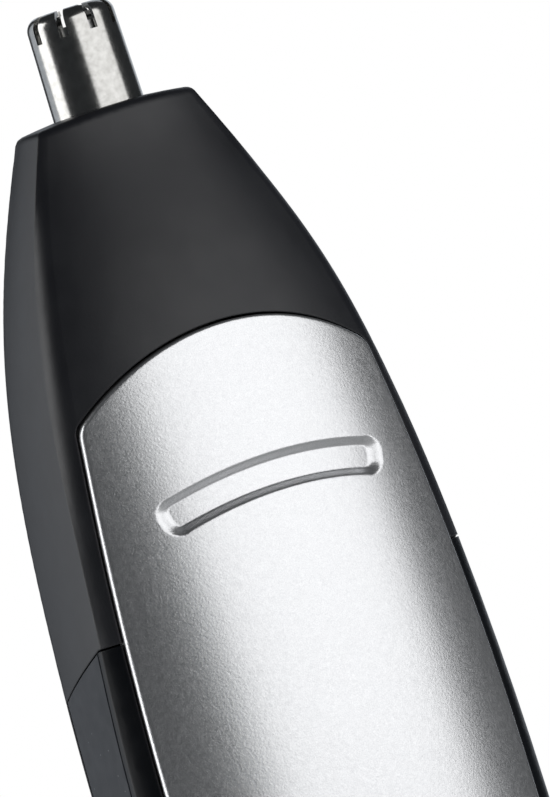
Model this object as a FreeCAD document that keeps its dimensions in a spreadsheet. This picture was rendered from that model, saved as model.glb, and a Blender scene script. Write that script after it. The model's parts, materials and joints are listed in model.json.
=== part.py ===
"""Battery nose and ear hair trimmer: a parametric assembly of separate pieces, in millimetres.

Frame: +Z up along the trimmer's long axis with the cutter at the top, -Y is the front (thumb plate),
+X is to the right seen from the front. The origin is the centre of the flat base that it stands on.
"""
import FreeCAD, Part
import math
import os
import Sketcher

Vector = FreeCAD.Vector
doc = FreeCAD.newDocument("nose_hair_trimmer")

# ---------------------------------------------------------------------------------------------
# Driving dimensions
# ---------------------------------------------------------------------------------------------

# Cross sections of the casing, from the crown down: height, half width at the side creases, depth of
# the creases, depth of the front and back at the middle, radius of the front at the middle.
STATIONS = {
    "crown": (138.0, 6.6, 3.2, 5.0, 15.0),
    "brow": (129.4, 10.2, 3.85, 7.3, 19.5),
    "shoulder": (120.1, 13.05, 4.6, 9.8, 23.5),
    "collar": (109.4, 14.9, 5.45, 10.85, 26.5),
    "seam": (96.4, 16.15, 5.55, 11.5, 27.0),
    "waist": (83.0, 16.95, 5.0, 11.7, 27.0),
    "palm": (58.0, 16.6, 4.9, 10.75, 27.0),
    "heel": (28.0, 15.2, 4.7, 9.75, 26.0),
    "base": (0.0, 13.6, 4.4, 9.1, 24.0),
}

SIZES = {
    # casing
    "wall": 1.6,
    "front_share": 0.9,
    "back_shoulder": 3.0,
    "side_bulge": 0.25,
    "grip_depth": 0.9,
    "grip_gap": 0.15,
    "grip_front_margin": 0.6,
    "grip_back_margin": 1.0,
    "grip_bottom": 30.6,
    "crown_dome_radius": 46.0,
    "crown_edge": 0.9,
    "crown_floor": 130.6,
    "bore_gap": 0.12,
    "cap_floor": 1.8,
    # seam between head and handle: level at the front, lower at the back
    "seam_front": 96.7,
    "seam_back": 93.2,
    "seam_bend": 5.2,
    "seam_gap": 0.15,
    # thumb plate
    "plate_corner": 113.8,
    "plate_corner_half": 12.9,
    "plate_corner_rounding": 1.3,
    "plate_half_width": 15.3,
    "plate_widest": 78.0,
    "plate_heel": 67.0,
    "plate_foot": 57.0,
    "plate_arch_radius": 19.6,
    "plate_foot_radius": 16.7,
    "plate_side_radius": 268.0,
    "plate_front": 12.15,
    "plate_middle": 85.0,
    "plate_section_radius": 27.0,
    "plate_profile_radius": 340.0,
    "plate_thickness": 1.2,
    "plate_edge": 0.3,
    "plate_gap": 0.15,
    "bed_gap": 0.45,
    "bed_thickness": 1.0,
    "slide_travel": 3.0,
    "slide_reserve": 0.3,
    "lever_level": 79.0,
    "groove_depth": 0.7,
    "groove_slope": 0.6,
    "groove_half_length": 9.5,
    "groove_offset": 0.35,
    "groove_height": 106.0,
    "groove_half_width": 0.95,
    "groove_corner": 0.5,
    "groove_radius": 36.0,
    # cutter
    "tube_radius": 3.8,
    "tube_tip_radius": 3.62,
    "tube_wall": 0.42,
    "tube_top": 146.3,
    "tube_rim_radius": 1.15,
    "slot_width": 0.7,
    "slot_bottom": 144.1,
    "blade_gap": 0.16,
    "blade_notch_half": 1.55,
    "flange_radius": 4.7,
    "flange_bottom": 134.6,
    "flange_top": 135.8,
    # battery, motor, drive
    "cell_radius": 7.25,
    "cell_bottom": 7.2,
    "cell_top": 56.4,
    "motor_radius": 7.6,
    "motor_flat": 6.0,
    "motor_bottom": 63.5,
    "motor_top": 88.5,
    "shaft_radius": 1.0,
    "neck_radius": 6.5,
    "neck_wall": 0.9,
    "neck_top": 104.0,
    "neck_groove_drop": 3.6,
    "neck_groove_width": 0.6,
    "neck_groove_depth": 0.4,
    "skirt_radius": 7.3,
    "skirt_bottom": 97.6,
    "fork_radius": 4.4,
    "fork_top": 100.5,
    "running_gap": 0.04,
    "chassis_wall": 1.2,
    "chassis_half_width": 8.95,
    "chassis_plate": 1.5,
    "chassis_low": 20.0,
    "bulkhead": 58.3,
    "end_cap_height": 1.8,
    "screw_radius": 0.75,
    "screw_head_radius": 1.75,
    "screw_head_low": 4.6,
    "screw_head_high": 5.7,
    "screw_spread": 12.2,
    "screw_low": 26.0,
    "screw_high": 66.0,
    "cap_top": 14.0,
    "cap_gap": 0.2,
}

sheet = doc.addObject("Spreadsheet::Sheet", "Sizes")


def fill_sheet():
    """Write every driving dimension as a plain number with an alias."""
    rows = dict(SIZES)
    for station, values in STATIONS.items():
        names = ("height", "half_width", "crease_depth", "depth", "front_radius")
        for name, value in zip(names, values):
            rows[f"{station}_{name}"] = value
    for row, (alias, value) in enumerate(rows.items(), start=1):
        sheet.set(f"A{row}", alias)
        sheet.set(f"B{row}", str(value))
        sheet.setAlias(f"B{row}", alias)
    doc.recompute()


fill_sheet()


class Size:
    """A length together with the spreadsheet expression that drives it."""

    def __init__(self, value, text):
        self.value = float(value)
        self.text = text

    def __add__(self, other):
        other = as_size(other)
        return Size(self.value + other.value, f"({self.text} + {other.text})")

    def __sub__(self, other):
        other = as_size(other)
        return Size(self.value - other.value, f"({self.text} - {other.text})")

    def __mul__(self, factor):
        return Size(self.value * factor, f"({self.text} * {factor})")

    def __neg__(self):
        return Size(-self.value, f"(-{self.text})")


def as_size(value):
    """A plain number as a Size."""
    if isinstance(value, Size):
        return value
    return Size(value, f"({value})")


def cell(alias):
    """The spreadsheet cell with this alias."""
    return Size(sheet.get(alias), f"Sizes.{alias}")


# ---------------------------------------------------------------------------------------------
# Modelling helpers
# ---------------------------------------------------------------------------------------------


def new_body(name):
    """An empty PartDesign body."""
    return doc.addObject("PartDesign::Body", name)


def sketch_on(body, name, role, offset=0.0):
    """A sketch on one of the body's own origin planes, moved along the plane's normal."""
    sketch = body.newObject("Sketcher::SketchObject", name)
    plane = [item for item in body.Origin.OriginFeatures if item.Role == role][0]
    sketch.AttachmentSupport = [(plane, "")]
    sketch.MapMode = "FlatFace"
    offset = as_size(offset)
    sketch.AttachmentOffset = FreeCAD.Placement(Vector(0, 0, offset.value), FreeCAD.Rotation())
    sketch.setExpression("AttachmentOffset.Base.z", offset.text)
    return sketch


def hold(sketch, kind, size, *where):
    """A dimension constraint that a spreadsheet expression drives."""
    index = sketch.addConstraint(Sketcher.Constraint(kind, *where, size.value))
    sketch.setExpression(f"Constraints[{index}]", size.text)


def pin_vertex(sketch, edge, end, x, y):
    """Fix one end of an edge by its coordinates in the sketch."""
    for kind, axis, size in (("DistanceX", -2, x), ("DistanceY", -1, y)):
        if size.value == 0.0:
            sketch.addConstraint(Sketcher.Constraint("PointOnObject", edge, end, axis))
        else:
            hold(sketch, kind, size, -1, 1, edge, end)


def arc_middle(start, end, radius):
    """The middle of the arc from start to end; it bulges to the right of the way for radius > 0."""
    chord = end - start
    half = chord.Length / 2
    sagitta = abs(radius) - math.sqrt(max(radius ** 2 - half ** 2, 0.0))
    right = Vector(chord.y, -chord.x, 0).normalize()
    return (start + end) * 0.5 + right * math.copysign(sagitta, radius)


def outline(sketch, corners):
    """A closed outline, counter-clockwise. A corner is (x, y), or (x, y, radius) for an arc that
    leads to the next corner: radius > 0 bulges outwards and radius < 0 inwards."""
    places = [(as_size(c[0]), as_size(c[1])) for c in corners]
    points = [Vector(x.value, y.value, 0) for x, y in places]
    first = sketch.GeometryCount
    ends = []
    for number, corner in enumerate(corners):
        start = points[number]
        end = points[(number + 1) % len(points)]
        if len(corner) == 2:
            sketch.addGeometry(Part.LineSegment(start, end), False)
            ends.append((1, 2))
            continue
        radius = as_size(corner[2])
        middle = arc_middle(start, end, radius.value)
        if radius.value > 0:
            sketch.addGeometry(Part.Arc(start, middle, end), False)
            ends.append((1, 2))
        else:
            sketch.addGeometry(Part.Arc(end, middle, start), False)
            ends.append((2, 1))
    for number, corner in enumerate(corners):
        follower = (number + 1) % len(corners)
        sketch.addConstraint(
            Sketcher.Constraint(
                "Coincident", first + number, ends[number][1], first + follower, ends[follower][0]
            )
        )
    for number, corner in enumerate(corners):
        pin_vertex(sketch, first + number, ends[number][0], *places[number])
        if len(corner) == 3:
            size = as_size(corner[2])
            if size.value < 0:
                size = -size
            chord = (points[(number + 1) % len(points)] - points[number]).Length
            if size.value > 0.501 * chord:
                hold(sketch, "Radius", size, first + number)


def revolution(name, profile):
    """A body turned about the Z axis from a closed (radius, height) profile."""
    body = new_body(name)
    sketch = sketch_on(body, name + "_profile", "XZ_Plane")
    outline(sketch, profile)
    feature = body.newObject("PartDesign::Revolution", name + "_turned")
    feature.Profile = (sketch, [""])
    feature.ReferenceAxis = (sketch, ["V_Axis"])
    feature.Angle = 360
    sketch.Visibility = False
    return body


def slab(name, role, corners, low, high):
    """A body padded from a closed outline between two distances along the plane's normal."""
    low = as_size(low)
    high = as_size(high)
    body = new_body(name)
    sketch = sketch_on(body, name + "_outline", role, low)
    outline(sketch, corners)
    pad = body.newObject("PartDesign::Pad", name + "_pad")
    pad.Profile = (sketch, [""])
    pad.setExpression("Length", (high - low).text)
    return body


def rectangle(x_low, x_high, y_low, y_high):
    """The four corners of a rectangle, counter-clockwise."""
    return [(x_low, y_low), (x_high, y_low), (x_high, y_high), (x_low, y_high)]


def box(name, x, y, z):
    """A Part box from its three (low, high) pairs."""
    solid = doc.addObject("Part::Box", name)
    lows = [as_size(pair[0]) for pair in (x, y, z)]
    spans = [as_size(pair[1]) - as_size(pair[0]) for pair in (x, y, z)]
    solid.Placement = FreeCAD.Placement(Vector(*[low.value for low in lows]), FreeCAD.Rotation())
    for axis, low, side, span in zip("xyz", lows, ("Length", "Width", "Height"), spans):
        solid.setExpression(f"Placement.Base.{axis}", low.text)
        solid.setExpression(side, span.text)
    return solid


def cylinder(name, radius, low, high, x=0.0, y=0.0):
    """A Part cylinder along Z."""
    solid = doc.addObject("Part::Cylinder", name)
    radius, low, high, x, y = [as_size(value) for value in (radius, low, high, x, y)]
    solid.Placement = FreeCAD.Placement(Vector(x.value, y.value, low.value), FreeCAD.Rotation())
    for axis, size in zip("xyz", (x, y, low)):
        solid.setExpression(f"Placement.Base.{axis}", size.text)
    solid.setExpression("Radius", radius.text)
    solid.setExpression("Height", (high - low).text)
    return solid


def cut(name, base, tool):
    """Base minus tool."""
    result = doc.addObject("Part::Cut", name)
    result.Base = base
    result.Tool = tool
    return result


def fuse(name, *shapes):
    """The union of the shapes."""
    result = doc.addObject("Part::MultiFuse", name)
    result.Shapes = list(shapes)
    return result


def common(name, *shapes):
    """What all the shapes share."""
    result = doc.addObject("Part::MultiCommon", name)
    result.Shapes = list(shapes)
    return result


REACH = 40.0       # half size of the tools that cut right across the casing
TOP = 160.0        # a level above everything
PLATE_ZONE = 4.0   # how far in front of the axis the plate's tools start
GUARD_TURN = -5.0  # degrees that the guard's slots are turned about its axis
BLADE_TURN = -15.0 # degrees that the blade stands turned at rest
COIL_STEPS = 16    # points on the helix in each turn of a spring
PIECES = []


def piece(name, source):
    """Name a finished sub-part: its label is the file's name."""
    source.Label = name
    PIECES.append(source)
    return source


# ---------------------------------------------------------------------------------------------
# Forms of the casing
# ---------------------------------------------------------------------------------------------


def front_shoulder(half_width, crease, depth, radius):
    """Where the front's middle arc ends, and the middle of the tangent arc from there to the crease."""
    centre = Vector(0, radius - depth, 0)
    edge_x = cell("front_share").value * half_width
    edge = Vector(edge_x, centre.y - math.sqrt(radius ** 2 - edge_x ** 2), 0)
    corner = Vector(half_width, -crease, 0)
    inward = (centre - edge).normalize()
    chord = corner - edge
    small = chord.Length ** 2 / (2 * chord.dot(inward))
    hub = edge + inward * small
    bisector = ((edge - hub).normalize() + (corner - hub).normalize()).normalize()
    return edge, hub + bisector * abs(small), corner


def back_shoulder(half_width, corner_y, depth, rounding):
    """The rounding between the flat side and the back's arc: its start, middle and end."""
    rise = depth - corner_y
    radius = (half_width ** 2 + rise ** 2) / (2 * rise)
    centre_y = depth - radius
    hub = Vector(half_width - rounding, 0, 0)
    hub.y = centre_y + math.sqrt((radius - rounding) ** 2 - hub.x ** 2)
    outward = (hub - Vector(0, centre_y, 0)).normalize()
    start = Vector(half_width, hub.y, 0)
    end = hub + outward * rounding
    middle = hub + (Vector(1, 0, 0) + outward).normalize() * rounding
    return start, middle, end


def section_sketch(body, name, station, inset):
    """One cross section of the casing: front arc with tangent shoulders, crisp side creases, gently
    bulged sides and a rounded back. The inset moves the whole outline inwards."""
    sketch = sketch_on(body, name, "XY_Plane", cell(f"{station}_height"))
    half_width = cell(f"{station}_half_width") - inset
    crease = cell(f"{station}_crease_depth") - inset * 0.6
    depth = cell(f"{station}_depth") - inset
    radius = cell(f"{station}_front_radius") - inset
    edge, shoulder, corner = front_shoulder(half_width.value, crease.value, depth.value, radius.value)
    start, bend, end = back_shoulder(half_width.value, crease.value, depth.value, cell("back_shoulder").value)
    bulge = Vector(half_width.value + cell("side_bulge").value, (start.y + corner.y) / 2, 0)

    def mirrored(point):
        return Vector(-point.x, point.y, 0)

    right = [(edge, shoulder, corner), (corner, bulge, start), (start, bend, end)]
    left = [(mirrored(c), mirrored(b), mirrored(a)) for a, b, c in reversed(right)]
    arcs = [(mirrored(edge), Vector(0, -depth.value, 0), edge)] + right
    arcs += [(end, Vector(0, depth.value, 0), mirrored(end))] + left
    sketch.addGeometry([Part.Arc(*points) for points in arcs], False)
    count = len(arcs)
    smooth_ends = (0, 7, 3, 4)
    for number in range(count):
        kind = "Tangent" if number in smooth_ends else "Coincident"
        sketch.addConstraint(Sketcher.Constraint(kind, number, 2, (number + 1) % count, 1))
    hold(sketch, "Radius", radius, 0)
    pin_vertex(sketch, 1, 2, half_width, -crease)
    pin_vertex(sketch, 7, 1, -half_width, -crease)
    for number in (0, 4):
        sketch.addConstraint(Sketcher.Constraint("PointOnObject", number, 3, -2))
    hold(sketch, "DistanceY", radius - depth, -1, 1, 0, 3)
    return sketch


def casing_form(name, inset, stations=tuple(STATIONS)):
    """The casing's whole outer form, or the same form moved inwards."""
    body = new_body(name)
    sketches = [section_sketch(body, f"{name}_{station}", station, as_size(inset)) for station in stations]
    loft = body.newObject("PartDesign::AdditiveLoft", name + "_loft")
    loft.Profile = (sketches[0], [""])
    loft.Sections = [(sketch, [""]) for sketch in sketches[1:]]
    return body


def side_band(name, front_margin, back_margin):
    """The band of the casing between its front and back creases, for the grip panels."""
    body = new_body(name)
    sketches = []
    reach = 30.0
    for station in ("seam", "waist", "palm", "heel"):
        sketch = sketch_on(body, f"{name}_{station}", "XY_Plane", cell(f"{station}_height"))
        crease = cell(f"{station}_crease_depth")
        outline(sketch, rectangle(-reach, reach, -(crease - front_margin), crease - back_margin))
        sketches.append(sketch)
    loft = body.newObject("PartDesign::AdditiveLoft", name + "_loft")
    loft.Profile = (sketches[0], [""])
    loft.Sections = [(sketch, [""]) for sketch in sketches[1:]]
    return body


def plate_outline(margin, drop=0.0):
    """The thumb plate's front outline, grown by a margin, with its foot lowered by a drop."""
    margin = as_size(margin)
    half = cell("plate_half_width") + margin
    corner_half = cell("plate_corner_half") + margin
    corner = cell("plate_corner") + margin * 0.8
    heel = cell("plate_heel") - drop
    side_radius = cell("plate_side_radius")
    return [
        (-half, heel, cell("plate_foot_radius") + margin),
        (half, heel),
        (half, cell("plate_widest"), side_radius),
        (corner_half, corner, cell("plate_arch_radius") + margin),
        (-corner_half, corner, side_radius),
        (-half, cell("plate_widest")),
    ]


def plate_blank(name, margin):
    """The plate's outline as a slab with its two upper corners rounded, grown by a margin."""
    margin = as_size(margin)
    blank = slab(name + "_slab", "XZ_Plane", plate_outline(margin), PLATE_ZONE, REACH)
    corner_x = (cell("plate_corner_half") + margin).value
    corner_z = (cell("plate_corner") + margin * 0.8).value

    def is_upper_corner(edge):
        centre = edge.BoundBox.Center
        return math.hypot(abs(centre.x) - corner_x, centre.z - corner_z) < 0.1

    return soften("Part::Fillet", name, blank, (cell("plate_corner_rounding") + margin).value, is_upper_corner)


def plate_surface(name, depth):
    """A torus whose front is the thumb plate's outer surface, moved inwards by a depth."""
    ring = doc.addObject("Part::Torus", name)
    section = cell("plate_section_radius")
    profile = cell("plate_profile_radius")
    back = profile - cell("plate_front")
    ring.Placement = FreeCAD.Placement(
        Vector(0, back.value, cell("plate_middle").value), FreeCAD.Rotation(Vector(0, 1, 0), 90)
    )
    ring.setExpression("Placement.Base.y", back.text)
    ring.setExpression("Placement.Base.z", cell("plate_middle").text)
    ring.setExpression("Radius1", (profile - section).text)
    ring.setExpression("Radius2", (section - depth).text)
    return ring


def rod_y(name, radius, y_low, y_high, x, z):
    """A Part cylinder along Y."""
    rod = doc.addObject("Part::Cylinder", name)
    radius, y_low, y_high, x, z = [as_size(value) for value in (radius, y_low, y_high, x, z)]
    turn = FreeCAD.Rotation(Vector(1, 0, 0), -90)
    rod.Placement = FreeCAD.Placement(Vector(x.value, y_low.value, z.value), turn)
    for axis, size in zip("xyz", (x, y_low, z)):
        rod.setExpression(f"Placement.Base.{axis}", size.text)
    rod.setExpression("Radius", radius.text)
    rod.setExpression("Height", (y_high - y_low).text)
    return rod


def edges_where(shape, test):
    """The numbers of the edges that pass a test."""
    return [number for number, edge in enumerate(shape.Edges, start=1) if test(edge)]


def soften(kind, name, base, size, test):
    """A Part fillet or chamfer of the edges that pass a test."""
    doc.recompute()
    feature = doc.addObject(kind, name)
    feature.Base = base
    feature.Edges = [(number, size, size) for number in edges_where(base.Shape, test)]
    doc.recompute()
    return feature


outer_form = casing_form("outer_form", 0.0)
inner_form = casing_form("inner_form", cell("wall"))
middle_form = casing_form("middle_form", cell("grip_depth"))


def seam_line(drop):
    """The seam seen from the right side: level at the front, then falling towards the back."""
    front = cell("seam_front") - drop
    back = cell("seam_back") - drop
    bend = cell("seam_bend")
    return [(-REACH, front), (-bend, front), (bend, back), (REACH, back)]


above_seam = slab("above_seam", "YZ_Plane", seam_line(0.0) + [(REACH, TOP), (-REACH, TOP)], -REACH, REACH)
cap_level = cell("cap_top") + cell("cap_gap")
below_seam = slab(
    "below_seam",
    "YZ_Plane",
    [(-REACH, cap_level), (REACH, cap_level)] + seam_line(cell("seam_gap"))[::-1],
    -REACH,
    REACH,
)

# ---------------------------------------------------------------------------------------------
# Head
# ---------------------------------------------------------------------------------------------


def head_housing():
    """The black head: a thin shell with a solid crown, the cutter's bore and the plate's window."""
    dome = doc.addObject("Part::Sphere", "crown_dome")
    centre = cell("crown_height") - cell("crown_dome_radius")
    dome.Placement = FreeCAD.Placement(Vector(0, 0, centre.value), FreeCAD.Rotation())
    dome.setExpression("Radius", cell("crown_dome_radius").text)
    dome.setExpression("Placement.Base.z", centre.text)
    block = common("head_block", outer_form, above_seam, dome)
    rim_level = cell("crown_height").value - 2.0
    block = soften(
        "Part::Fillet",
        "head_rounded",
        block,
        cell("crown_edge").value,
        lambda edge: edge.BoundBox.ZMin > rim_level,
    )
    under_crown = box("under_crown", (-REACH, REACH), (-REACH, REACH), (0, cell("crown_floor")))
    cavity = common("head_cavity", inner_form, under_crown)
    window = plate_blank("plate_window", cell("plate_gap"))
    bore = cylinder("tube_bore", cell("tube_radius") + cell("bore_gap"), cell("seam_front"), TOP)
    seat_radius = cell("flange_radius") + cell("bore_gap")
    seat = cylinder("flange_seat", seat_radius, cell("seam_front"), cell("flange_top"))
    return piece("head_housing", cut("head_cut", block, fuse("head_tools", cavity, window, bore, seat)))


def outer_cutter():
    """The stainless guard tube: a seating flange, a slightly tapered tube and a slotted, open crown."""
    wall = cell("tube_wall")
    top = cell("tube_top")
    rim = cell("tube_rim_radius")
    tip = cell("tube_tip_radius")
    bend = top - rim
    lip_width = 0.4
    lip = tip - rim - lip_width
    body = revolution(
        "outer_cutter_body",
        [
            (cell("tube_radius") - wall, cell("flange_bottom")),
            (cell("flange_radius"), cell("flange_bottom")),
            (cell("flange_radius"), cell("flange_top")),
            (cell("tube_radius"), cell("flange_top")),
            (tip, bend, rim),
            (tip - rim, top),
            (lip, top),
            (lip, top - wall),
            (tip - rim, top - wall, -(rim - wall)),
            (tip - wall, bend),
        ],
    )
    slots(body, "guard", 9, cell("slot_width") * 0.5, cell("slot_bottom"))
    body.Placement = FreeCAD.Placement(Vector(0, 0, 0), FreeCAD.Rotation(Vector(0, 0, 1), GUARD_TURN))
    return piece("outer_cutter", body)


def slots(body, name, count, half_width, bottom):
    """Radial slots from the rim down to a level, spaced evenly round the axis."""
    sketch = sketch_on(body, name + "_slot", "YZ_Plane")
    outline(sketch, rectangle(-half_width, half_width, bottom, as_size(TOP)))
    doc.recompute()
    before = body.Shape.Volume
    pocket = body.newObject("PartDesign::Pocket", name + "_slot_cut")
    pocket.Profile = (sketch, [""])
    pocket.Type = "ThroughAll"
    pocket.Reversed = True
    doc.recompute()
    assert body.Shape.Volume < before
    pattern = body.newObject("PartDesign::PolarPattern", name + "_slots")
    pattern.Originals = [pocket]
    pattern.Axis = (sketch, ["V_Axis"])
    pattern.Angle = 360
    pattern.Occurrences = count
    body.Tip = pattern
    doc.recompute()


def inner_cutter():
    """The rotating blade: a hub with four fingers that run just inside the guard's crown."""
    gap = cell("tube_wall") + cell("blade_gap")
    wall = 0.36
    hub_height = 1.2
    notch_floor = 0.75
    rim = cell("tube_rim_radius") - gap
    tip = cell("tube_tip_radius") - gap
    top = cell("tube_top") - gap
    hub_bottom = cell("crown_height") - 0.8
    hub_top = hub_bottom + hub_height
    body = revolution(
        "inner_cutter_body",
        [
            (cell("shaft_radius"), hub_bottom),
            (tip, hub_bottom),
            (tip, top - rim, rim),
            (tip - rim, top),
            (tip - rim, top - wall),
            (tip - wall, top - rim),
            (tip - wall, hub_top),
            (cell("shaft_radius"), hub_top),
        ],
    )
    slots(body, "blade", 4, cell("blade_notch_half"), cell("slot_bottom") + notch_floor)
    body.Placement = FreeCAD.Placement(Vector(0, 0, 0), FreeCAD.Rotation(Vector(0, 0, 1), BLADE_TURN))
    return piece("inner_cutter", body)


def retainer():
    """The ring that holds the guard's flange against the crown."""
    height = 2.0
    inner = cell("tube_radius") - 0.3
    outer = cell("flange_radius") + 0.05
    top = cell("flange_bottom")
    return piece("cutter_retainer", revolution("retainer_body", rectangle(inner, outer, top - height, top)))


def drive_sleeve():
    """The sleeve inside the head that carries the bushing; its skirt slips over the handle's neck."""
    sleeve_wall = 1.0
    shoulder = 2.4
    clearance = 0.1
    skirt = cell("skirt_radius")
    skirt_inner = cell("neck_radius") + clearance
    skirt_top = cell("neck_top") + 1.6
    tube = cell("flange_radius") - clearance
    bore = tube - sleeve_wall
    top = cell("flange_bottom") - 2.2
    return piece(
        "drive_sleeve",
        revolution(
            "sleeve_body",
            [
                (skirt_inner, cell("skirt_bottom")),
                (skirt, cell("skirt_bottom")),
                (skirt, skirt_top),
                (tube, skirt_top + shoulder),
                (tube, top),
                (bore, top),
                (bore, skirt_top + shoulder - 0.8),
                (skirt_inner, skirt_top - 0.8),
            ],
        ),
    )


def bushing():
    """The brass bushing in which the cutter's shaft runs."""
    low, high = 123.0, 128.0
    outer = cell("flange_radius") - 1.1
    inner = cell("shaft_radius") + cell("running_gap")
    return piece("shaft_bushing", revolution("bushing_body", rectangle(inner, outer, low, high)))


def seal():
    """The felt ring that keeps hair out of the bushing."""
    low, high = 128.3, 129.6
    outer = cell("flange_radius") - 1.1
    inner = cell("shaft_radius") + cell("running_gap") * 2
    return piece("hair_seal", revolution("seal_body", rectangle(inner, outer, low, high)))


def cutter_shaft():
    """The cutter's shaft, from the drive dog to the blade's hub."""
    low = cell("fork_top") + 0.9
    high = cell("crown_height") + 0.4
    return piece("cutter_shaft", cylinder("cutter_shaft_rod", cell("shaft_radius"), low, high))


def coil(name, radius, wire, low, high, turns):
    """A round wire wound on a smooth helix, as an open coil spring."""
    pitch = (high - low) / turns
    points = []
    for step in range(COIL_STEPS * turns + 1):
        turned = 2 * math.pi * step / COIL_STEPS
        points.append(Vector(radius * math.cos(turned), radius * math.sin(turned), pitch * step / COIL_STEPS))
    path = Part.BSplineCurve()
    path.interpolate(points)
    ring = Part.makeCircle(wire, points[0], Vector(0, 1, pitch / (2 * math.pi * radius)))
    feature = doc.addObject("Part::Feature", name)
    feature.Shape = Part.Wire([path.toShape()]).makePipeShell([Part.Wire([ring])], True, True)
    feature.Placement = FreeCAD.Placement(Vector(0, 0, low), FreeCAD.Rotation())
    return feature


def cutter_spring():
    """The spring that presses the blade up against the guard."""
    radius, wire, turns = 1.9, 0.25, 4
    low = cell("crown_floor").value
    high = cell("crown_height").value - 1.1
    return piece("cutter_spring", coil("cutter_spring_coil", radius, wire, low, high, turns))


def drive_dog():
    """The dog on the cutter's shaft: a hub with a flat tongue that drops into the drive fork."""
    hub_radius = 2.6
    tongue_reach = 3.4
    tongue_half = 0.65
    fork_top = cell("fork_top")
    hub = revolution("dog_hub", rectangle(cell("shaft_radius"), hub_radius, fork_top + 0.6, fork_top + 5.0))
    tongue = box(
        "dog_tongue",
        (-tongue_reach, tongue_reach),
        (-tongue_half, tongue_half),
        (fork_top - 2.6, fork_top + 0.9),
    )
    return piece("drive_dog", fuse("dog_joined", hub, tongue))


# ---------------------------------------------------------------------------------------------
# Handle shells and grips
# ---------------------------------------------------------------------------------------------


def grip_region(name, margin, seam_margin):
    """The space of the grip panels, less a margin: the side band outside the middle form, from the
    panels' lower end up to the seam."""
    band = side_band(
        name + "_band", (cell("grip_front_margin") + margin).value, (cell("grip_back_margin") + margin).value
    )
    top_line = seam_line(cell("seam_gap") + seam_margin)[::-1]
    low = cell("grip_bottom") + margin
    limits = slab(name + "_limits", "YZ_Plane", [(-REACH, low), (REACH, low)] + top_line, -REACH, REACH)
    return cut(name, common(name + "_space", band, limits), middle_form)


grip_pocket = grip_region("grip_pocket", as_size(0.0), -cell("seam_gap"))
grip_space = grip_region("grip_space", cell("grip_gap"), as_size(0.0))
handle_wall = cut("handle_wall", common("handle_outer", outer_form, below_seam), inner_form)
handle_block = cut("handle_block", handle_wall, grip_pocket)
screw_places = [
    (side * cell("screw_spread").value, cell(level).value)
    for level in ("screw_low", "screw_high")
    for side in (-1, 1)
]


def bosses(name, radius, y_low, y_high):
    """Four posts or holes at the shell screws."""
    return [rod_y(f"{name}_{number}", radius, y_low, y_high, x, z)
            for number, (x, z) in enumerate(screw_places, start=1)]


def plate_bed():
    """The bed behind the thumb plate: a curved web in the handle and a tongue that rises into the head."""
    web_margin = 1.0
    depth = cell("plate_thickness") + cell("bed_gap")
    drop = cell("slide_travel") + cell("slide_reserve")
    front = plate_surface("bed_front", depth)
    back = plate_surface("bed_back", depth + cell("bed_thickness"))
    lower = slab("bed_lower", "XZ_Plane", plate_outline(web_margin, drop + web_margin), PLATE_ZONE, REACH)
    lower = common("bed_web", lower, below_seam, middle_form)
    tongue = slab("bed_upper", "XZ_Plane", plate_outline(-0.5, drop), PLATE_ZONE, REACH)
    over_waist = box("over_waist", (-REACH, REACH), (-REACH, 0.0), (cell("seam_front") - 4.0, TOP))
    tongue = common("bed_tongue", tongue, over_waist)
    return cut("bed_solid", common("bed_shape", fuse("bed_outline", lower, tongue), front), back)


STEM_HALF = 1.9    # half width of the carrier's stem
STEM_LOW = 74.5
STEM_HIGH = 83.5
HOOK_X = 5.0       # how far the hooks stand from the middle
HOOK_HALF = 0.8
HOOK_LOW = 100.6
HOOK_HIGH = 103.2


def stem_slots(margin, drop):
    """The slots in the bed for the plate's stem and its two upper hooks."""
    low = -(as_size(drop) + margin)
    half = STEM_HALF + margin
    parts = [box("stem_slot", (-half, half), (-REACH, -7.6), (low + STEM_LOW, STEM_HIGH + margin))]
    half = HOOK_HALF + margin
    for side, name in ((-1, "left"), (1, "right")):
        span = (side * HOOK_X - half, side * HOOK_X + half)
        parts.append(box(f"{name}_hook_slot", span, (-REACH, -7.0), (low + HOOK_LOW, HOOK_HIGH + margin)))
    return fuse("bed_slots", *parts)


def front_shell():
    """The handle's front half, with the plate's bed, its tongue and the screw posts."""
    post_radius = 2.3
    front = box("front_half", (-REACH, REACH), (-REACH, 0.0), (0, TOP))
    wall = cut("front_wall", common("front_block", handle_block, front), plate_clearance("recess"))
    rods = fuse("front_post_rods", *bosses("front_post", post_radius, -12.0, 0.0))
    posts = cut("front_posts_clear", common("front_posts", rods, middle_form), plate_clearance("post_limit"))
    holes = fuse("front_screw_holes", *bosses("front_hole", cell("screw_radius"), -6.0, 1.0))
    joined = fuse("front_joined", wall, plate_bed(), posts)
    slotted = cut("front_slotted", joined, stem_slots(0.4, cell("slide_travel")))
    return piece("front_shell", cut("front_bored", slotted, holes))


def plate_clearance(name):
    """The space that the sliding plate needs in front of its bed."""
    drop = cell("slide_travel") + cell("slide_reserve")
    space = slab(name + "_outline", "XZ_Plane", plate_outline(cell("plate_gap"), drop), PLATE_ZONE, REACH)
    return cut(name, space, plate_surface(name + "_floor", cell("plate_thickness") + cell("bed_gap")))


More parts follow.
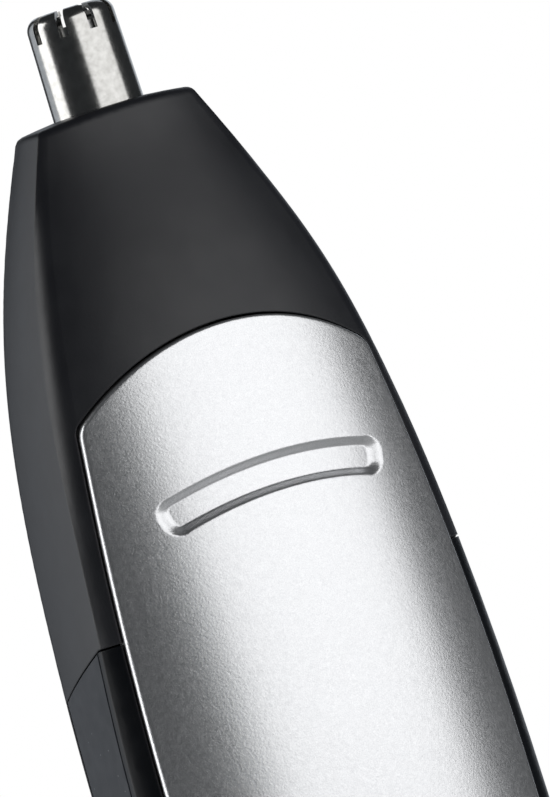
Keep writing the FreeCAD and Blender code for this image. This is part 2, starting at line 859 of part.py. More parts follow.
def rear_shell():
    """The handle's rear half, with posts and countersunk places for the screws."""
    split = 0.06
    post_radius = 2.6
    shank_hole = 1.15
    head_hole = cell("screw_head_radius") + 0.2
    rear = box("rear_half", (-REACH, REACH), (split, REACH), (0, TOP))
    wall = common("rear_wall", handle_block, rear)
    rods = fuse("rear_post_rods", *bosses("rear_post", post_radius, split, 12.0))
    holes = fuse("rear_screw_holes", *bosses("rear_hole", shank_hole, -1.0, REACH))
    heads = fuse("rear_screw_heads", *bosses("rear_head", head_hole, cell("screw_head_low") - 0.1, REACH))
    joined = fuse("rear_joined", wall, common("rear_posts", rods, middle_form))
    return piece("rear_shell", cut("rear_countersunk", cut("rear_bored", joined, holes), heads))


def shell_screws():
    """The four screws that hold the shells together, as one group."""
    cross_reach = 1.1
    cross_half = 0.22
    low = cell("screw_head_low")
    high = cell("screw_head_high")
    depth = (high - 0.5, high + 0.3)
    shanks = bosses("screw_shank", cell("screw_radius"), -5.0, low)
    heads = bosses("screw_head", cell("screw_head_radius"), low, high)
    crosses = []
    for number, (x, z) in enumerate(screw_places, start=1):
        wide_x, wide_z = (x - cross_reach, x + cross_reach), (z - cross_reach, z + cross_reach)
        thin_x, thin_z = (x - cross_half, x + cross_half), (z - cross_half, z + cross_half)
        crosses.append(box(f"screw_cross_{number}", wide_x, depth, thin_z))
        crosses.append(box(f"screw_bar_{number}", thin_x, depth, wide_z))
    joined = fuse("screws_joined", *shanks, *heads)
    return piece("shell_screws", cut("screws_crossed", joined, fuse("screw_crosses", *crosses)))


def grips():
    """The soft rubber panels set into the two sides of the handle."""
    panel = common("grip_panels", outer_form, grip_space)
    for name, span in (("left_grip", (-REACH, 0.0)), ("right_grip", (0.0, REACH))):
        piece(name, common(name + "_cut", panel, box(name + "_side", span, (-REACH, REACH), (0, TOP))))


# ---------------------------------------------------------------------------------------------
# Thumb plate: the slide switch
# ---------------------------------------------------------------------------------------------


def groove_outline():
    """The crescent of the thumb groove's floor: two concentric arcs with straight ends."""
    radius = cell("groove_radius")
    half_width = cell("groove_half_width")
    turn = math.asin(cell("groove_half_length").value / radius.value)
    centre = cell("groove_height") - radius
    inner = radius - half_width
    outer = radius + half_width

    def place(reach, side):
        return reach * (side * math.sin(turn)) + cell("groove_offset"), centre + reach * math.cos(turn)

    return [
        (*place(inner, -1), -inner),
        place(inner, 1),
        (*place(outer, 1), outer),
        place(outer, -1),
    ]


def is_across(edge):
    """The straight edges that run through a slab from front to back."""
    return edge.BoundBox.YLength > REACH / 2


def front_plate():
    """The silver thumb plate: a doubly curved sheet with a bevelled rim and the crescent groove."""
    face = plate_surface("plate_face", as_size(0.0))
    block = common("plate_block", plate_blank("plate_shape", 0.0), face)
    skin = cut("plate_skin", block, plate_surface("plate_back", cell("plate_thickness")))
    crescent = slab("groove_slab", "XZ_Plane", groove_outline(), PLATE_ZONE, REACH)
    crescent = soften("Part::Fillet", "groove_blank", crescent, cell("groove_corner").value, is_across)
    groove = cut("groove_tool", crescent, plate_surface("groove_floor", cell("groove_depth")))
    grooved = cut("plate_grooved", skin, groove)
    bevelled = soften("Part::Chamfer", "plate_bevelled", grooved, cell("plate_edge").value, is_rim_edge)
    return piece(
        "front_plate",
        soften("Part::Chamfer", "plate_sloped", bevelled, cell("groove_slope").value, is_groove_edge),
    )


def plate_depth(point):
    """How deep a point lies under the thumb plate's outer surface."""
    section = cell("plate_section_radius").value
    profile = cell("plate_profile_radius").value
    back = profile - cell("plate_front").value
    reach = math.hypot(point.y - back, point.z - cell("plate_middle").value)
    return section - math.hypot(point.x, reach - (profile - section))


def on_plate_face(edge):
    """Whether an edge lies on the thumb plate's outer surface."""
    span = edge.LastParameter - edge.FirstParameter
    points = [edge.valueAt(edge.FirstParameter + span * share) for share in (0.0, 0.3, 0.7, 1.0)]
    return all(abs(plate_depth(point)) < 0.01 for point in points)


def near_groove(edge):
    """Whether an edge lies in the thumb groove's part of the plate."""
    box_of_edge = edge.BoundBox
    middle = cell("groove_height").value
    reach = cell("groove_half_length").value + 1.5
    return abs(box_of_edge.Center.z - middle) < 3.0 and abs(box_of_edge.Center.x) < reach


def is_rim_edge(edge):
    """The outer edges of the thumb plate."""
    return on_plate_face(edge) and not near_groove(edge)


def is_groove_edge(edge):
    """The mouth of the thumb groove."""
    return on_plate_face(edge) and near_groove(edge)


def plate_carrier():
    """The plastic carrier behind the plate: a stem through the bed, and a flange with the lever's notch."""
    flange_half = 3.2
    notch_half = 0.8
    lever = cell("lever_level")
    rod = box("carrier_rod", (-STEM_HALF, STEM_HALF), (-14.0, -8.2), (STEM_LOW, STEM_HIGH))
    flange_z = (STEM_LOW - 1.5, STEM_HIGH + 1.5)
    flange = box("carrier_flange", (-flange_half, flange_half), (-8.75, -8.1), flange_z)
    stem = common("carrier_stem", rod, plate_surface("carrier_front", cell("plate_thickness")))
    notch_z = (lever - notch_half, lever + notch_half)
    notch = box("lever_notch", (-notch_half, notch_half), (-9.0, -7.0), notch_z)
    return piece("plate_carrier", cut("carrier_notched", fuse("carrier_joined", stem, flange), notch))


def plate_hooks():
    """The two hooks that hold the plate's upper end to the tongue, as one group."""
    foot_half = 1.5
    parts = []
    for side, name in ((-1, "left"), (1, "right")):
        x = side * HOOK_X
        rod = box(f"{name}_hook_rod", (x - HOOK_HALF, x + HOOK_HALF), (-14.0, -7.7), (HOOK_LOW, HOOK_HIGH))
        stem = common(f"{name}_hook_stem", rod, plate_surface(f"{name}_hook_front", cell("plate_thickness")))
        foot = box(f"{name}_hook_foot", (x - foot_half, x + foot_half), (-8.1, -7.6), (HOOK_LOW, HOOK_HIGH))
        parts.append(fuse(f"{name}_hook", stem, foot))
    return piece("plate_hooks", fuse("hooks_joined", *parts))


# ---------------------------------------------------------------------------------------------
# Chassis, motor and drive
# ---------------------------------------------------------------------------------------------


def chassis():
    """The frame inside the handle: side walls, a ring for the cell, a bulkhead, a top plate, the neck."""
    wall_reach = 5.0
    low = cell("chassis_low")
    thick = cell("chassis_plate")
    half = cell("chassis_half_width")
    inside = half - cell("chassis_wall")
    bulkhead = cell("bulkhead")
    top = cell("motor_top") + 0.5
    parts = [
        box("chassis_left_wall", (-half, -inside), (-wall_reach, wall_reach), (low, top + thick)),
        box("chassis_right_wall", (inside, half), (-wall_reach, wall_reach), (low, top + thick)),
        box("chassis_foot", (-half, half), (-5.6, 5.6), (low, low + thick)),
        box("chassis_bulkhead", (-half, half), (-6.0, 6.0), (bulkhead, bulkhead + thick)),
        box("chassis_top", (-half, half), (-7.2, 7.2), (top, top + thick)),
    ]
    neck = cell("neck_radius")
    bore = neck - cell("neck_wall")
    groove = cell("neck_top") - cell("neck_groove_drop")
    groove_end = groove + cell("neck_groove_width")
    groove_floor = neck - cell("neck_groove_depth")
    neck_body = revolution(
        "chassis_neck",
        [
            (bore, top + 1.0),
            (neck, top + 1.0),
            (neck, groove),
            (groove_floor, groove),
            (groove_floor, groove_end),
            (neck, groove_end),
            (neck, cell("neck_top")),
            (bore, cell("neck_top")),
        ],
    )
    boss_hole = 3.1
    tag_near, tag_far = 4.2, 5.8
    through = (bulkhead - 1.0, bulkhead + 3.0)
    holes = fuse(
        "chassis_holes",
        cylinder("cell_hole", cell("cell_radius") + 0.15, low - 1.0, low + 3.0),
        cylinder("boss_hole", boss_hole, top - 1.0, top + 3.0),
        box("terminal_hole_left", (-tag_far, -tag_near), (-1.0, 1.0), through),
        box("terminal_hole_right", (tag_near, tag_far), (-1.0, 1.0), through),
    )
    bored = cut("chassis_bored", fuse("chassis_frame", *parts), holes)
    return piece("chassis", fuse("chassis_joined", bored, neck_body))


def neck_ring():
    """The rubber O-ring in the neck's groove."""
    play = 0.06
    neck = cell("neck_radius")
    inner = neck - cell("neck_groove_depth") + 0.02
    groove = cell("neck_top") - cell("neck_groove_drop")
    top = groove + cell("neck_groove_width") - play
    return piece("neck_o_ring", revolution("neck_ring_body", rectangle(inner, neck + play, groove + play, top)))


def motor_can():
    """The motor's drawn steel can: round with two flats, open below, with a bearing boss on top."""
    sheet_metal = 0.5
    boss_radius = 3.0
    boss_height = 1.6
    radius = cell("motor_radius")
    flat = cell("motor_flat")
    low = cell("motor_bottom")
    top = cell("motor_top")
    inner_flat = flat - sheet_metal
    inner_z = (low - 1.0, top - 0.6)
    outside = common(
        "can_outside",
        cylinder("can_round", radius, low, top),
        box("can_flats", (-REACH, REACH), (-flat, flat), (low, top)),
    )
    inside = common(
        "can_inside",
        cylinder("can_round_in", radius - sheet_metal, *inner_z),
        box("can_flats_in", (-REACH, REACH), (-inner_flat, inner_flat), inner_z),
    )
    boss = cylinder("can_boss", boss_radius, top - 0.3, top + boss_height)
    bore = cylinder("can_bore", cell("shaft_radius") + cell("running_gap"), top - 2.0, top + 3.0)
    hollow = cut("can_hollow", fuse("can_solid", outside, boss), inside)
    return piece("motor_can", cut("can_bored", hollow, bore))


def motor_magnets():
    """The two arc magnets inside the can, as one group."""
    inner_radius = 5.75
    half_width = 4.2
    low, high = 66.0, 84.0
    ring = cut(
        "magnet_ring",
        cylinder("magnet_out", cell("motor_radius") - 0.55, low, high),
        cylinder("magnet_in", inner_radius, low - 1.0, high + 1.0),
    )
    span = box("magnet_span", (-REACH, REACH), (-half_width, half_width), (low - 1.0, high + 1.0))
    return piece("motor_magnets", common("magnet_pair", ring, span))


def motor_end_cap():
    """The plastic end cap with the brushes."""
    high = cell("motor_bottom")
    low = high - cell("end_cap_height")
    flat = cell("motor_flat")
    round_part = common(
        "end_cap_shape",
        cylinder("end_cap_round", cell("motor_radius"), low, high),
        box("end_cap_flats", (-REACH, REACH), (-flat, flat), (low, high)),
    )
    bore = cylinder("end_cap_bore", cell("shaft_radius") + cell("running_gap"), low - 1.0, high + 1.0)
    return piece("motor_end_cap", cut("end_cap_bored", round_part, bore))


def motor_terminals():
    """The two solder tags of the motor, as one group."""
    near, far = 4.7, 5.3
    half_width = 0.8
    length = 1.6
    top = cell("motor_bottom") - cell("end_cap_height")
    left = box("left_tag", (-far, -near), (-half_width, half_width), (top - length, top))
    right = box("right_tag", (near, far), (-half_width, half_width), (top - length, top))
    return piece("motor_terminals", fuse("tags", left, right))


def motor_rotor():
    """The armature with its commutator on the motor's shaft."""
    shaft = cell("shaft_radius")
    axis = as_size(0.0)
    commutator = as_size(1.9)
    collar = as_size(2.2)
    stack = as_size(5.4)
    stack_low, stack_high = 67.6, 82.6
    body = revolution(
        "rotor_body",
        [
            (axis, 62.6),
            (shaft, 62.6),
            (shaft, 64.2),
            (commutator, 64.2),
            (commutator, 67.0),
            (stack, stack_low),
            (stack, stack_high),
            (collar, 83.4),
            (collar, 84.6),
            (shaft, 84.6),
            (shaft, 96.0),
            (axis, 96.0),
        ],
    )
    gap_start = 3.0
    gap_width = 1.0
    gaps = []
    for number in range(3):
        turn = FreeCAD.Rotation(Vector(0, 0, 1), 120 * number)
        gap = doc.addObject("Part::Box", f"pole_gap_{number + 1}")
        gap.Length = 4.0
        gap.Width = gap_width
        gap.Height = stack_high - stack_low + 1.2
        corner = Vector(gap_start, -gap_width / 2, stack_low - 0.6)
        gap.Placement = FreeCAD.Placement(turn.multVec(corner), turn)
        gaps.append(gap)
    return piece("motor_rotor", cut("rotor_poles", body, fuse("pole_gaps", *gaps)))


def motor_gasket():
    """The rubber ring between the motor and the chassis top, which deadens its hum."""
    inner, outer = 3.05, 5.9
    top = cell("motor_top")
    return piece("motor_gasket", revolution("gasket_body", rectangle(inner, outer, top, top + 0.5)))


def drive_fork():
    """The fork on the motor's shaft that turns the drive dog."""
    top = cell("fork_top")
    radius = cell("fork_radius")
    shaft = cell("shaft_radius")
    stem_radius = 2.6
    slot_half = 0.95
    slot_depth = 3.2
    cup = revolution(
        "fork_body",
        [
            (shaft, top - 8.6),
            (stem_radius, top - 8.6),
            (radius, top - 5.6),
            (radius, top),
            (shaft, top),
        ],
    )
    slot = box("fork_slot", (-REACH, REACH), (-slot_half, slot_half), (top - slot_depth, top + 1.0))
    return piece("drive_fork", cut("fork_slotted", cup, slot))


# ---------------------------------------------------------------------------------------------
# Battery, contacts and switch
# ---------------------------------------------------------------------------------------------


def battery():
    """One AA cell, standing on its flat end with the button upwards."""
    radius = cell("cell_radius")
    low = cell("cell_bottom")
    top = cell("cell_top")
    edge = 0.3
    button_radius = 2.75
    button_top = top + 1.4
    return piece(
        "battery",
        revolution(
            "battery_body",
            [
                (0.0, low),
                (radius - 4 * edge, low),
                (radius - 3 * edge, low + edge),
                (radius - edge, low + edge),
                (radius, low + 2 * edge),
                (radius, top - edge),
                (radius - edge, top),
                (button_radius, top),
                (button_radius, button_top - 0.2),
                (button_radius - edge, button_top),
                (0.0, button_top),
            ],
        ),
    )


def contacts():
    """The positive contact, the strip down the chassis, the cap's contact plate and the cell's spring."""
    thick = 0.3
    disc_radius = 3.6
    tab_half = 1.5
    top = cell("cell_top") + 1.4
    disc = cylinder("contact_disc", disc_radius, top, top + thick)
    tab = box("contact_tab", (-disc_radius, disc_radius), (-tab_half, tab_half), (top + thick, cell("bulkhead")))
    piece("positive_contact", fuse("contact_joined", disc, tab))
    strip_x = cell("chassis_half_width")
    piece("contact_strip", box("contact_strip_bar", (strip_x, strip_x + thick), (-tab_half, tab_half), (16.0, 63.0)))
    arm_half = 1.2
    arm_x = strip_x + thick + 0.1
    floor = cell("cap_floor") + 0.2
    arm_span = (-arm_half, arm_half)
    plate = box("cap_contact_plate", (-6.0, arm_x + thick), arm_span, (floor, floor + thick))
    arm = box("cap_contact_arm", (arm_x, arm_x + thick), arm_span, (floor + thick, 19.0))
    piece("cap_contact", fuse("cap_contact_joined", plate, arm))
    spring_radius, wire, turns = 3.2, 0.35, 3
    spring_low = (floor + thick).value + wire
    spring_high = cell("cell_bottom").value - 0.4
    piece("battery_spring", coil("battery_spring_coil", spring_radius, wire, spring_low, spring_high, turns))


def switch_parts():
    """The switch board, the slide switch on it, its lever and the detent spring."""
    board_half = 6.0
    board_front, board_back = -7.0, -6.3
    piece("switch_board", box("board", (-board_half, board_half), (board_front, board_back), (62.0, 87.0)))
    switch_half = 3.5
    window_half = 0.9
    lever_half = 0.75
    lever = cell("lever_level")
    body = box("switch_body", (-switch_half, switch_half), (board_front - 0.8, board_front), (74.0, 84.0))
    window = box("switch_window", (-window_half, window_half), (-8.0, -7.4), (lever - 4.1, lever + 1.2))
    piece("slide_switch", cut("switch_open", body, window))
    span = (-lever_half, lever_half)
    piece("switch_lever", box("lever_bar", span, (-8.7, -7.45), (lever - lever_half, lever + lever_half)))
    strip_back = board_front - 0.25
    strip = slab(
        "detent_strip",
        "YZ_Plane",
        [
            (board_front, 63.0),
            (board_front, 65.0),
            (-7.55, 68.0),
            (board_front, 71.0),
            (board_front, 72.0),
            (strip_back, 72.0),
            (strip_back, 71.05),
            (-7.85, 68.0),
            (strip_back, 64.95),
            (strip_back, 63.0),
        ],
        -1.0,
        1.0,
    )
    piece("detent_spring", strip)


# ---------------------------------------------------------------------------------------------
# Base cap
# ---------------------------------------------------------------------------------------------


def base_cap():
    """The cap that closes the cell's bay: a shallow cup with two curved tongues that enter the handle."""
    tongue_outer, tongue_inner = 8.2, 7.6
    tongue_half = 5.0
    tongue_z = (1.5, 18.0)
    zone = box("cap_zone", (-REACH, REACH), (-REACH, REACH), (0, cell("cap_top")))
    bay = box("cap_bay", (-REACH, REACH), (-REACH, REACH), (cell("cap_floor"), TOP))
    shell = cut("cap_shell", common("cap_outside", outer_form, zone), common("cap_inside", inner_form, bay))
    ring = cut(
        "cap_ring",
        cylinder("cap_ring_out", tongue_outer, *tongue_z),
        cylinder("cap_ring_in", tongue_inner, 0.5, 19.0),
    )
    tongues = common(
        "cap_tongues", ring, box("cap_tongue_span", (-REACH, REACH), (-tongue_half, tongue_half), tongue_z)
    )
    floor = cell("cap_floor")
    slot = box("cap_contact_slot", (5.0, 8.6), (-1.4, 1.4), (floor + 0.1, floor + 0.7))
    return piece("base_cap", cut("cap_slotted", fuse("cap_joined", shell, tongues), slot))


# ---------------------------------------------------------------------------------------------
# Build, check and write
# ---------------------------------------------------------------------------------------------


def build():
    """Make every sub-part."""
    for maker in (
        head_housing,
        outer_cutter,
        inner_cutter,
        retainer,
        drive_sleeve,
        bushing,
        seal,
        cutter_shaft,
        cutter_spring,
        drive_dog,
        front_shell,
        rear_shell,
        shell_screws,
        grips,
        front_plate,
        plate_carrier,
        plate_hooks,
        chassis,
        neck_ring,
        motor_can,
        motor_magnets,
        motor_end_cap,
        motor_terminals,
        motor_rotor,
        motor_gasket,
        drive_fork,
        battery,
        contacts,
        switch_parts,
        base_cap,
    ):
        maker()
    doc.recompute()


def check_and_write():
    """Stop at any failed object or bad shape, then write one STEP file for each sub-part."""
    failed = [item.Name for item in doc.Objects if "Invalid" in item.State or "Error" in item.State]
    if failed:
        raise RuntimeError("these objects failed: " + ", ".join(failed))
    for item in PIECES:
        if item.Shape.isNull() or not item.Shape.isValid():
            raise RuntimeError("bad shape: " + item.Label)
    os.makedirs("parts", exist_ok=True)
    for item in PIECES:
        item.Shape.exportStep(f"parts/{item.Label}.step")
        print(item.Label, round(item.Shape.Volume, 1), len(item.Shape.Solids))


build()
check_and_write()
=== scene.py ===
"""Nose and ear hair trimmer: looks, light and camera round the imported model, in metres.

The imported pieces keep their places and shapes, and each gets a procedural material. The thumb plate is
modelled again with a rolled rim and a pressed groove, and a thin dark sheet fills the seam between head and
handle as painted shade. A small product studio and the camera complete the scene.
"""
import json
import math

import bmesh
import bpy
import numpy as np
from mathutils import Matrix, Vector
from mathutils.bvhtree import BVHTree
from mathutils.geometry import delaunay_2d_cdt


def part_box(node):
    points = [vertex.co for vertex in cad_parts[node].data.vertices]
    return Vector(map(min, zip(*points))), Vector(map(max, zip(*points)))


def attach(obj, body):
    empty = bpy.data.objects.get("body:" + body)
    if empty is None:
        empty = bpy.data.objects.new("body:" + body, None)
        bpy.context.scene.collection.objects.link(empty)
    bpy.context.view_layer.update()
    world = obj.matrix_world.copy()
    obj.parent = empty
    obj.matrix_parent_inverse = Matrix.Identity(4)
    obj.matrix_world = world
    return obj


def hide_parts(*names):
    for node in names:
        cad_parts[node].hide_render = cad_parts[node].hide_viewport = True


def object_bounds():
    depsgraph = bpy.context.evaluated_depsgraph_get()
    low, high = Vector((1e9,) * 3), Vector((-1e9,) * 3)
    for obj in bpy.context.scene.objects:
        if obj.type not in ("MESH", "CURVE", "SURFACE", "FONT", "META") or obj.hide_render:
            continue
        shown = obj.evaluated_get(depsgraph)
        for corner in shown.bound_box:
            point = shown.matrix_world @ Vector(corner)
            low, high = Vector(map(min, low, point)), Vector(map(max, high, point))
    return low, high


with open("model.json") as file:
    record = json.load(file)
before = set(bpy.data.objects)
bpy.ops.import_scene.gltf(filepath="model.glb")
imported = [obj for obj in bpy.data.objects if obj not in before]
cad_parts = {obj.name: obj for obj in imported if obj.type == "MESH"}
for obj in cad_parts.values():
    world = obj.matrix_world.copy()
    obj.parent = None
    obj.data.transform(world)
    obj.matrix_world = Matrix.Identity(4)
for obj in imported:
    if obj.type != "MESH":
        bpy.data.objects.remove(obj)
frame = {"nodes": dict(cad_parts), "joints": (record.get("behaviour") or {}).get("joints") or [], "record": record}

cad_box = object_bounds()
scene = bpy.context.scene
MM = 0.001

# ---------------------------------------------------------------------------------------------
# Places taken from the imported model
# ---------------------------------------------------------------------------------------------

whole_low, whole_high = [Vector(corner) for corner in cad_box]
tube_low = Vector(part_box("outer_cutter")[0])
cell_low, cell_high = [Vector(corner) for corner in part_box("battery")]
plate_low, plate_high = [Vector(corner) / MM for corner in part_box("front_plate")]   # in millimetres
seam_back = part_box("head_housing")[0][2]    # the height of the head's underside at the back
cap_travel = next(joint["range_m"][1] for joint in frame["joints"] if joint["name"] == "cap_pull")


def add_object(name, data):
    """A new object in the scene."""
    thing = bpy.data.objects.new(name, data)
    scene.collection.objects.link(thing)
    return thing


# ---------------------------------------------------------------------------------------------
# Camera
# ---------------------------------------------------------------------------------------------

CAMERA_AZIMUTH = math.radians(-22.0)    # from the front, towards the left side
CAMERA_LEAN = math.radians(17.7)        # the trimmer leans to the left in the frame
CAMERA_DISTANCE = 1.5
CAMERA_NEAR = 0.01                      # nothing nearer than this is seen
AIM_DROP = 34.8 * MM                    # the aim lies this far below the tip of the guard tube
AIM_RIGHT = 6.4 * MM                    # and this far to the right of the trimmer's axis
FRAME_HEIGHT = 63.76 * MM               # what the frame's longer side covers at the trimmer
SENSOR = 36.0


def place_camera():
    """The camera: level with the trimmer, a little to its left and rolled."""
    back = Vector((math.sin(CAMERA_AZIMUTH), -math.cos(CAMERA_AZIMUTH), 0.0))
    right = Vector((math.cos(CAMERA_AZIMUTH), math.sin(CAMERA_AZIMUTH), 0.0))
    up = Vector((0.0, 0.0, 1.0))
    aim = Vector((0.0, 0.0, whole_high.z - AIM_DROP)) + right * AIM_RIGHT
    camera_up = up * math.cos(CAMERA_LEAN) + right * math.sin(CAMERA_LEAN)
    camera_right = right * math.cos(CAMERA_LEAN) - up * math.sin(CAMERA_LEAN)
    turn = Matrix((camera_right, camera_up, back)).transposed().to_4x4()
    turn.translation = aim + back * CAMERA_DISTANCE
    camera = add_object("camera", bpy.data.cameras.new("camera"))
    camera.matrix_world = turn
    camera.data.sensor_width = SENSOR
    camera.data.lens = SENSOR * CAMERA_DISTANCE / FRAME_HEIGHT
    camera.data.clip_start = CAMERA_NEAR
    scene.camera = camera


# ---------------------------------------------------------------------------------------------
# Studio: surround, softboxes and floor
# ---------------------------------------------------------------------------------------------

NEUTRAL = (1.0, 1.0, 1.0)
COOL = (0.86, 0.92, 1.0)
FILL_COLOUR = (0.86, 0.93, 1.0)
FILL = 0.04                 # how bright the surroundings look in reflections

FLOOR_RADIUS = 0.42
FLOOR_EDGES = 96
FLOOR_PLAY = 1 * MM         # between the floor and the base cap when it is pulled off

# Each softbox: azimuth from the front towards the right side, elevation, distance, width, height, how
# bright its face is and its colour.
SOFTBOXES = {
    "key": (23.8, 4.0, 0.62, 1.00, 0.84, 1.56, NEUTRAL),
    "strip_left": (-118.0, 4.0, 0.70, 0.46, 1.00, 2.30, NEUTRAL),
    "backdrop_left": (-152.0, 0.0, 0.70, 0.38, 1.00, 0.62, COOL),
    "backdrop_right": (148.0, 8.0, 0.80, 0.60, 0.90, 0.65, COOL),
}


def set_world():
    """A white surround for the camera and a dim one for light and reflections."""
    world = bpy.data.worlds.new("studio")
    world.use_nodes = True
    scene.world = world
    nodes = world.node_tree.nodes
    links = world.node_tree.links
    fill = nodes["Background"]
    fill.inputs["Color"].default_value = (*FILL_COLOUR, 1.0)
    fill.inputs["Strength"].default_value = FILL
    white = nodes.new("ShaderNodeBackground")
    white.inputs["Color"].default_value = (*NEUTRAL, 1.0)
    path = nodes.new("ShaderNodeLightPath")
    choice = nodes.new("ShaderNodeMixShader")
    links.new(path.outputs["Is Camera Ray"], choice.inputs[0])
    links.new(fill.outputs[0], choice.inputs[1])
    links.new(white.outputs[0], choice.inputs[2])
    links.new(choice.outputs[0], nodes["World Output"].inputs["Surface"])


def add_softbox(name, azimuth, elevation, distance, width, height, brightness, colour):
    """A rectangular softbox that faces the foot of the guard tube. The camera doesn't see it."""
    light = bpy.data.lights.new(name, "AREA")
    light.shape = "RECTANGLE"
    light.size = width
    light.size_y = height
    light.energy = brightness * math.pi * width * height
    light.color = colour
    azimuth = math.radians(azimuth)
    elevation = math.radians(elevation)
    outward = Vector((
        math.sin(azimuth) * math.cos(elevation),
        -math.cos(azimuth) * math.cos(elevation),
        math.sin(elevation),
    ))
    holder = add_object(name, light)
    holder.location = Vector((0.0, 0.0, tube_low.z)) + outward * distance
    holder.rotation_mode = "QUATERNION"
    holder.rotation_quaternion = outward.to_track_quat("Z", "Y")
    holder.visible_camera = False


def add_floor():
    """A pale round floor, low enough for the base cap to be seen when it is pulled off."""
    level = whole_low.z - cap_travel - FLOOR_PLAY
    rim = [
        (FLOOR_RADIUS * math.cos(turn), FLOOR_RADIUS * math.sin(turn), level)
        for turn in (2 * math.pi * step / FLOOR_EDGES for step in range(FLOOR_EDGES))
    ]
    mesh = bpy.data.meshes.new("floor")
    mesh.from_pydata(rim, [], [tuple(range(FLOOR_EDGES))])
    floor = add_object("floor", mesh)
    paper = Surface("floor_paper", roughness=0.85, specular=0.2)
    paper.vary_colour((0.89, 0.89, 0.885), (0.93, 0.93, 0.925), 40 * MM)
    mesh.materials.append(paper.material)


# ---------------------------------------------------------------------------------------------
# Material building blocks
# ---------------------------------------------------------------------------------------------

COLOUR_DRIFT = (0.35, 0.65)     # the part of the noise's range that a drift of colour uses
ROUGHNESS_DRIFT = (0.3, 0.7)
SPECK_CORE = 0.6                # share of a speck's radius that is at full strength
BEVEL_SAMPLES = 6

SOCKETS = {
    "roughness": "Roughness",
    "metallic": "Metallic",
    "specular": "Specular IOR Level",
    "coat": "Coat Weight",
    "coat_roughness": "Coat Roughness",
    "sheen": "Sheen Weight",
    "sheen_roughness": "Sheen Roughness",
}


